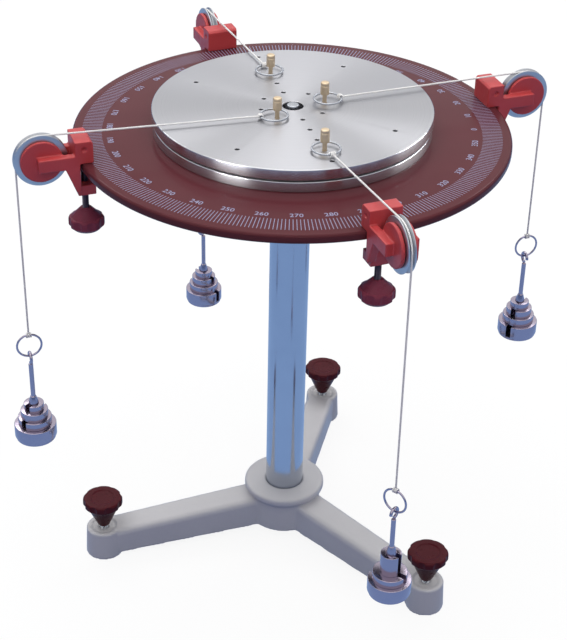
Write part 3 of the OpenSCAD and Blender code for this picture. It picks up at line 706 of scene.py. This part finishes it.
def edgeApart(piece):
    # the flat faces keep the first material and the turned edge takes the second
    mesh = piece.data
    normals = np.empty(len(mesh.polygons) * 3)
    mesh.polygons.foreach_get("normal", normals)
    steep = np.abs(normals.reshape(-1, 3)[:, 2]) < discLook["flatLimit"]
    mesh.polygons.foreach_set("material_index", steep.astype(np.int32))


def roundPlate(name, node):
    # a turned disc as wide and as high as its solid, with eased edges
    low, high = ends(node)
    radius = width(node) / 2
    return surface(name, lathe([(0, low[2]), (radius, low[2], discLook["edge"]),
                   (radius, high[2], discLook["edge"]), (0, high[2])], spin=256))


def holePlaces(holes):
    # (reach cos t, reach sin t): eight holes on a ring, two rows of four straight out, and four far out
    first = np.radians(holes["turn"])
    eighth, step = tau / 8, np.arange(1, 5)
    reach = [np.full(8, holes["inner"]), holes["inner"] + holes["pitch"] * step,
             holes["inner"] + holes["pitch"] * step, np.full(4, holes["outer"])]
    turn = [first + eighth * np.arange(8), np.full(4, first + 2 * eighth), np.full(4, first + 6 * eighth),
            first + eighth * np.arange(1, 9, 2)]
    reach, turn = np.concatenate(reach), np.concatenate(turn)
    return np.stack([reach * np.cos(turn), reach * np.sin(turn), 0 * reach], -1)


def drill(piece, low, high):
    # takes the bore and the peg holes, each with a small bevel at its mouth, out of the upper disc
    def cutter(radius, at, bevel, spin):
        past = 2 * mm
        mouth = radius + bevel + past
        return lathe([(0, low - past), (radius, low - past), (radius, high - bevel), (mouth, high + past),
                      (0, high + past)], axes(at, (1, 0, 0), (0, 1, 0), up), spin)

    tools = [cutter(pegHoles["radius"], at, pegHoles["bevel"], 40) for at in holePlaces(pegHoles)]
    tools.append(cutter(discLook["boreRadius"], (0, 0, 0), discLook["boreBevel"], 96))
    tool = surface("drills", *tools)
    cut = piece.modifiers.new("holes", "BOOLEAN")
    cut.operation = "DIFFERENCE"
    cut.solver = "EXACT"
    cut.object = tool
    smooth(settle(piece))
    bpy.data.objects.remove(tool)


lowerPlate = roundPlate("bearingPlate", "bearing_plate")
upperDisc = roundPlate("momentDisc", "moment_disc")
drill(upperDisc, ends("moment_disc")[0][2], ends("moment_disc")[1][2])
for piece, body, node in ((lowerPlate, "base", "bearing_plate"), (upperDisc, "disc", "moment_disc")):
    piece.data.materials.clear()
    piece.data.materials.append(shadedFaceAluminium)
    piece.data.materials.append(rimAluminium)
    edgeApart(piece)
    dress(piece, None, body, "aluminium", node)

low, high = ends("centre_pin")
pinRadius = width("centre_pin") / 2
pin = surface("centrePin", lathe([(0, low[2]), (pinRadius, low[2]),
              (pinRadius, high[2], discLook["pinDome"]), (0, high[2])]))
dress(pin, brightSteel, "base", "steel", "centre_pin")
print("discs made")

# pegs
pegLook = {"shank": 2 * mm, "head": 4 * mm, "headHeight": 12 * mm, "crown": 1.4 * mm,
           "groove": 0.35 * mm, "grooveDown": 3.2 * mm, "grooveHalf": 0.7 * mm, "grooveRound": 0.2 * mm,
           "edge": 0.5 * mm}
for n in lines:
    low, high = ends(f"peg_{n}")
    under = high[2] - pegLook["headHeight"]
    ringAt = high[2] - pegLook["grooveDown"]
    half, easing = pegLook["grooveHalf"], pegLook["grooveRound"]
    peg = surface(f"peg_{n}_turned", lathe(
        [(0, low[2]), (pegLook["shank"], low[2], pegLook["edge"]), (pegLook["shank"], under),
         (pegLook["head"], under, pegLook["edge"]), (pegLook["head"], ringAt - half, easing),
         (pegLook["head"] - pegLook["groove"], ringAt, easing),
         (pegLook["head"], ringAt + half, easing),
         (pegLook["head"], high[2], pegLook["crown"]), (0, high[2])], onAxis(f"peg_{n}"), 48, 5))
    dress(peg, pegBrass, f"peg_{n}", "brass", f"peg_{n}")
print("pegs made")

# clamps: moulding, screw, knob and wheel
clampLook = {"voxel": 0.6 * mm, "smoothing": 4}
gripLook = {"screwRadius": 3 * mm, "pitch": 1 * mm, "threadDepth": 0.6 * mm, "padHeight": 2.5 * mm,
            "coneRadius": 13.5 * mm, "neckRadius": 5 * mm, "headHeight": 12 * mm, "underHeight": 4 * mm,
            "underShare": 0.74, "flutes": 8, "fluteRadius": 7 * mm, "fluteDepth": 1.6 * mm,
            "dishShare": 0.55, "dishFloor": 0.5, "dishDepth": 0.6 * mm, "dishRound": 1 * mm,
            "underRound": 1.5 * mm, "rimRound": 2 * mm, "headRound": 2.5 * mm, "coneRound": 1 * mm,
            "neckRound": 0.8 * mm, "padUnder": 0.6 * mm, "padOver": 0.4 * mm, "padOverlap": 0.5 * mm}
wheelLook = {"radius": 24 * mm, "halfWidth": 3.5 * mm, "pivotRadius": 2.5 * mm, "pivotEnd": 9.5 * mm,
             "grooveHalf": 2.5 * mm, "grooveFloor": 21 * mm, "floorHalf": 0.7 * mm, "footHalf": 1.2 * mm,
             "footRise": 0.5 * mm, "edge": 0.5 * mm, "mouthRound": 0.3 * mm, "pivotRound": 0.4 * mm}


def wheelOutline(look):
    # half of the section, from a pivot's end over the rim to the groove's floor, and its mirror image
    edge, half, groove = look["edge"], look["halfWidth"], look["grooveHalf"]
    side = [(look["pivotRadius"], look["pivotEnd"], look["pivotRound"]), (look["pivotRadius"], half),
            (look["radius"], half, edge), (look["radius"], groove, look["mouthRound"]),
            (look["grooveFloor"] + look["footRise"], look["footHalf"]),
            (look["grooveFloor"], look["floorHalf"])]
    lower = [(r, -y, *soft) for r, y, *soft in side]
    return [(0, -look["pivotEnd"])] + lower + side[::-1] + [(0, look["pivotEnd"])]


for n in lines:
    out, beside = lineAxes(n)
    body = softened(f"clamp_body_{n}", f"clampMoulding_{n}", clampLook["voxel"], clampLook["smoothing"])
    dress(body, clampRed, f"clamp_{n}", "red_plastic", f"clamp_body_{n}")

    low, high = ends(f"clamp_spindle_{n}")
    place, padLow = onAxis(f"clamp_spindle_{n}"), high[2] - gripLook["padHeight"]
    padRadius = width(f"clamp_spindle_{n}") / 2
    pad = lathe([(0, padLow), (padRadius, padLow, gripLook["padUnder"]),
                 (padRadius, high[2], gripLook["padOver"]), (0, high[2])], place, 64)
    rod = threaded(gripLook["screwRadius"], low[2], padLow + gripLook["padOverlap"], gripLook["pitch"],
                   gripLook["threadDepth"], place)
    screw = surface(f"clampScrew_{n}", rod, pad)
    dress(screw, screwSteel, f"clamp_screw_{n}", "steel", f"clamp_spindle_{n}")

    low, high = ends(f"clamp_knob_{n}")
    crown, shoulder = width(f"clamp_knob_{n}") / 2, low[2] + gripLook["headHeight"]
    dish = low[2] + gripLook["dishDepth"]
    knob = surface(f"clampKnob_{n}", fluted(
        [(0, dish), (crown * gripLook["dishFloor"], dish, gripLook["dishRound"]),
         (crown * gripLook["dishShare"], low[2], gripLook["dishRound"]),
         (crown * gripLook["underShare"], low[2], gripLook["underRound"]),
         (crown, low[2] + gripLook["underHeight"], gripLook["rimRound"]),
         (crown, shoulder, gripLook["headRound"]),
         (gripLook["coneRadius"], shoulder, gripLook["coneRound"]),
         (gripLook["neckRadius"], high[2], gripLook["neckRound"]), (0, high[2])],
        onAxis(f"clamp_knob_{n}"), gripLook["flutes"], gripLook["fluteRadius"],
        gripLook["fluteDepth"], crown))
    dress(knob, shadeLiftedGripMaroon, f"clamp_grip_{n}", "maroon_plastic", f"clamp_knob_{n}")

    place = axes(middle(f"pulley_wheel_{n}"), out, up, -beside)
    wheel = surface(f"pulleyWheel_{n}_turned", lathe(wheelOutline(wheelLook), place, 128, 5))
    dress(wheel, wheelAluminium, f"wheel_{n}", "aluminium", f"pulley_wheel_{n}")
print("clamps made")

# masses: a hooked hanger with slotted weights on its plate
hangerLook = {"height": 90 * mm, "rod": 2.2 * mm, "plateRadius": 19 * mm, "plate": 3 * mm,
              "hookRadius": 5 * mm, "hookWire": 1.5 * mm, "collarRadius": 5 * mm, "collarTop": 2.7 * mm,
              "collarHeight": 8 * mm, "rodLow": 1 * mm, "plateUnder": 1 * mm, "plateOver": 0.5 * mm,
              "collarFoot": 0.6 * mm, "collarRound": 1 * mm, "rodRound": 0.3 * mm, "neckRound": 0.8 * mm}
weightLook = {"slotHalf": 2.7 * mm, "bevel": 0.6 * mm,
              "tiers": (("Large", 20 * mm, 13 * mm, 215), ("Medium", 16 * mm, 8 * mm, 35),
                        ("Small", 13 * mm, 8 * mm, 215), ("Top", 9.5 * mm, 7 * mm, 35)),
              "frontTiers": (("Large", 20 * mm, 13 * mm, 215), ("Medium", 16 * mm, 8 * mm, 35),
                             ("Top", 9.5 * mm, 21 * mm, 35))}


def slotOutline(radius, half, turn):
    # a disc with a slot in to its middle: the rim's arc, the slot's walls, and a half round at their end
    mouth = math.asin(half / radius)
    rim = np.linspace(mouth, tau - mouth, 120)
    end = np.linspace(-tau / 4, -3 * tau / 4, 17)
    outline = np.concatenate([np.stack([radius * np.cos(rim), radius * np.sin(rim)], -1),
                              np.stack([half * np.cos(end), half * np.sin(end)], -1)])
    a = math.radians(turn)
    return outline @ np.array([[math.cos(a), math.sin(a)], [-math.sin(a), math.cos(a)]])


for n in lines:
    out, beside = lineAxes(n)
    low = ends(f"mass_{n}")[0][2]
    edge = middle(f"pulley_wheel_{n}") + out * cordRoute["wrapRadius"]
    edge[2] = 0
    place = axes(edge + up * low, out, beside, up)
    z = hangerLook["plate"]
    tiers = weightLook["frontTiers"] if n == 4 else weightLook["tiers"]
    for label, radius, height, turn in tiers:
        outline = slotOutline(radius, weightLook["slotHalf"], turn)
        weight = prism(f"weight{label}_{n}", outline, z, z + height, place, weightLook["bevel"])
        dress(weight, reflectionTintedWeightChrome, f"mass_{n}", "chrome")
        z += height
    plate = lathe([(0, 0), (hangerLook["plateRadius"], 0, hangerLook["plateUnder"]),
                   (hangerLook["plateRadius"], hangerLook["plate"], hangerLook["plateOver"]),
                   (0, hangerLook["plate"])], place)
    neck = hangerLook["height"] - hangerLook["hookRadius"] - hangerLook["hookWire"]
    collar = z + hangerLook["collarHeight"]
    rod = lathe([(0, hangerLook["rodLow"]), (hangerLook["rod"], hangerLook["rodLow"]),
                 (hangerLook["rod"], z), (hangerLook["collarRadius"], z, hangerLook["collarFoot"]),
                 (hangerLook["collarTop"], collar, hangerLook["collarRound"]),
                 (hangerLook["rod"], collar, hangerLook["rodRound"]),
                 (hangerLook["rod"], neck, hangerLook["neckRound"]), (0, neck)], place, 48)
    bend = np.linspace(-tau / 4, tau / 2, 60)[:, None]
    hookOut, hookSide = hookAxes(n)
    hookPath = edge + up * (low + hangerLook["height"]) + hangerLook["hookRadius"] * (
        np.cos(bend) * hookSide + np.sin(bend) * up)
    hook = tube(hookPath, hookOut, hangerLook["hookWire"], 16)
    hanger = surface(f"hanger_{n}", plate, rod, hook)
    dress(hanger, reflectionTintedWeightChrome, f"mass_{n}", "chrome", f"mass_{n}")
print("masses made")

# solids that keep their own shape and take a finish
for node, material in (("column_bolt", brightSteel), ("table_flange", wheelAluminium),
                       ("flange_screws", brightSteel), ("bearing_balls", brightSteel)):
    nodes[node].data.materials.clear()
    nodes[node].data.materials.append(material)

# stage: a pale floor, a blue wall and a blue card on the floor that only glossy surfaces see, as the bright
# metal mirrors a blue studio in the photograph, and soft light from above
stageLook = {"floorHalf": 8.0, "floorSeen": "#fbfbfb", "floorBounce": "#605478", "floorGlow": 0.9,
             "wallReach": 3.2, "wallHeight": 1.0, "wallColour": "#7090c4", "wallStrength": 0.7,
             "cardReach": 3.1, "cardLift": 0.2 * mm, "cardColour": "#9fbeea", "cardStrength": 1.0,
             "skySeen": 0.98, "skyLight": 1.35, "skyLow": 0.35, "skyHigh": 0.8}
# each lamp: watts, width and height, place, the height on the column it points at, and degrees of spread;
# the three at the back draw fans on the turned disc, the narrow one in front reaches the clamps, and the
# two strips at the sides, level with the discs' edges, light these alone and draw their streaks
lamps = {"key": (12, (1.7, 1.7), (-0.3, 0.1, 2.4), 0.3, 180),
         "backLeft": (3.5, (0.5, 0.5), (-0.92, 1.56, 1.88), 0.4, 180),
         "backMiddle": (2.5, (0.5, 0.5), (0.05, 1.38, 2.29), 0.4, 180),
         "backRight": (3, (0.5, 0.5), (0.92, 1.56, 1.88), 0.4, 180),
         "front": (0.27, (0.6, 0.6), (0.2, -2.2, 1.3), 0.55, 22),
         "sideLeft": (34, (0.9, 0.016), (-1.56, -1.56, 0.466), 0.466, 180),
         "sideRight": (50, (1.5, 0.016), (2.13, 0.53, 0.466), 0.466, 180)}
lampTurn = (0.2, 0.9, 0.1)  # sets how a square lamp is turned about its own axis


def seenRays(tree):
    # 1 for a ray from the camera, straight or by way of metal or glass, and 0 for light on a surface
    path = addNode(tree, "ShaderNodeLightPath")
    seen = addNode(tree, "ShaderNodeMath", {"operation": "MAXIMUM"}, {},
                   {0: path.outputs["Is Camera Ray"], 1: path.outputs["Is Glossy Ray"]})
    seen = addNode(tree, "ShaderNodeMath", {"operation": "MAXIMUM"}, {},
                   {0: seen.outputs[0], 1: path.outputs["Is Transmission Ray"]})
    return seen.outputs[0]


def makeStage(look):
    half = look["floorHalf"]
    mesh = bpy.data.meshes.new("floor")
    corners = [(-half, -half, 0), (half, -half, 0), (half, half, 0), (-half, half, 0)]
    mesh.from_pydata(corners, [], [(0, 1, 2, 3)])
    floor = newObject("floor", mesh)
    material, tree, shader, where = newMaterial("matPaperFloor",
                                                {"Roughness": 0.9, "Specular IOR Level": 0.0})
    seen = seenRays(tree)
    tone = addNode(tree, "ShaderNodeMix", {"data_type": "RGBA"}, {6: colour(look["floorBounce"]),
                   7: colour(look["floorSeen"])}, {0: seen})
    tree.links.new(tone.outputs[2], shader.inputs["Base Color"])
    glow = addNode(tree, "ShaderNodeEmission", {}, {"Color": (1, 1, 1, 1), "Strength": 1.0})
    share = addNode(tree, "ShaderNodeMath", {"operation": "MULTIPLY"}, {1: look["floorGlow"]}, {0: seen})
    paper = addNode(tree, "ShaderNodeMixShader", {}, {}, {0: share.outputs[0], 1: shader.outputs[0],
                    2: glow.outputs[0]})
    tree.links.new(paper.outputs[0], tree.nodes["Material Output"].inputs["Surface"])
    mesh.materials.append(material)

    t = np.linspace(0, tau, 64, endpoint=False)
    ring = np.stack([np.cos(t), np.sin(t), 0 * t], -1)
    low, lift = look["wallReach"] * ring, up * look["cardLift"]
    wall = surface("studioWall", (np.stack([low, low + up * look["wallHeight"]]), False))
    card = surface("tintedCard", (np.stack([0 * ring + lift, look["cardReach"] * ring + lift]), False))
    card.visible_diffuse = False
    for piece, name in ((wall, "wall"), (card, "card")):
        material, tree, shader, where = newMaterial(f"painted{name.title()}", {})
        glow = addNode(tree, "ShaderNodeEmission", {}, {"Color": colour(look[f"{name}Colour"]),
                       "Strength": look[f"{name}Strength"]})
        tree.links.new(glow.outputs[0], tree.nodes["Material Output"].inputs["Surface"])
        piece.data.materials.append(material)
        piece.visible_camera = False
        piece.visible_shadow = False

    world = bpy.data.worlds.new("paleStudio")
    scene.world = world
    world.use_nodes = True
    tree = world.node_tree
    # the light itself comes from high up, as from a lit ceiling, and fades towards the horizon
    where = addNode(tree, "ShaderNodeTexCoord").outputs["Generated"]
    parts = addNode(tree, "ShaderNodeSeparateXYZ", {}, {}, {"Vector": where})
    dome = addNode(tree, "ShaderNodeMapRange", {"interpolation_type": "SMOOTHSTEP"},
                   {"From Min": look["skyLow"], "From Max": look["skyHigh"], "To Max": look["skyLight"]},
                   {"Value": parts.outputs["Z"]})
    level = addNode(tree, "ShaderNodeMix", {}, {3: look["skySeen"]},
                    {0: seenRays(tree), 2: dome.outputs["Result"]})
    tree.links.new(level.outputs[0], tree.nodes["Background"].inputs["Strength"])
    tree.nodes["Background"].inputs["Color"].default_value = (1, 1, 1, 1)


def hangLamps():
    discs = bpy.data.collections.new("turnedDiscs")
    for piece in (lowerPlate, upperDisc):
        discs.objects.link(piece)
    for name, (power, size, at, aim, spread) in lamps.items():
        lamp = bpy.data.lights.new(name, "AREA")
        lamp.energy = power
        lamp.shape = "RECTANGLE"
        lamp.size, lamp.size_y = size
        lamp.spread = math.radians(spread)
        holder = bpy.data.objects.new(name, lamp)
        holder.visible_glossy = name != "front"  # the front one fills in and leaves no glare
        strip = name.startswith("side")
        if strip:
            holder.light_linking.receiver_collection = discs
        scene.collection.objects.link(holder)
        back = unit(np.array(at) - up * aim)
        side = unit(np.cross(up if strip else lampTurn, back))
        holder.matrix_world = Matrix(axes(at, side, np.cross(back, side), back).tolist())


makeStage(stageLook)
hangLamps()
print("stage lit")
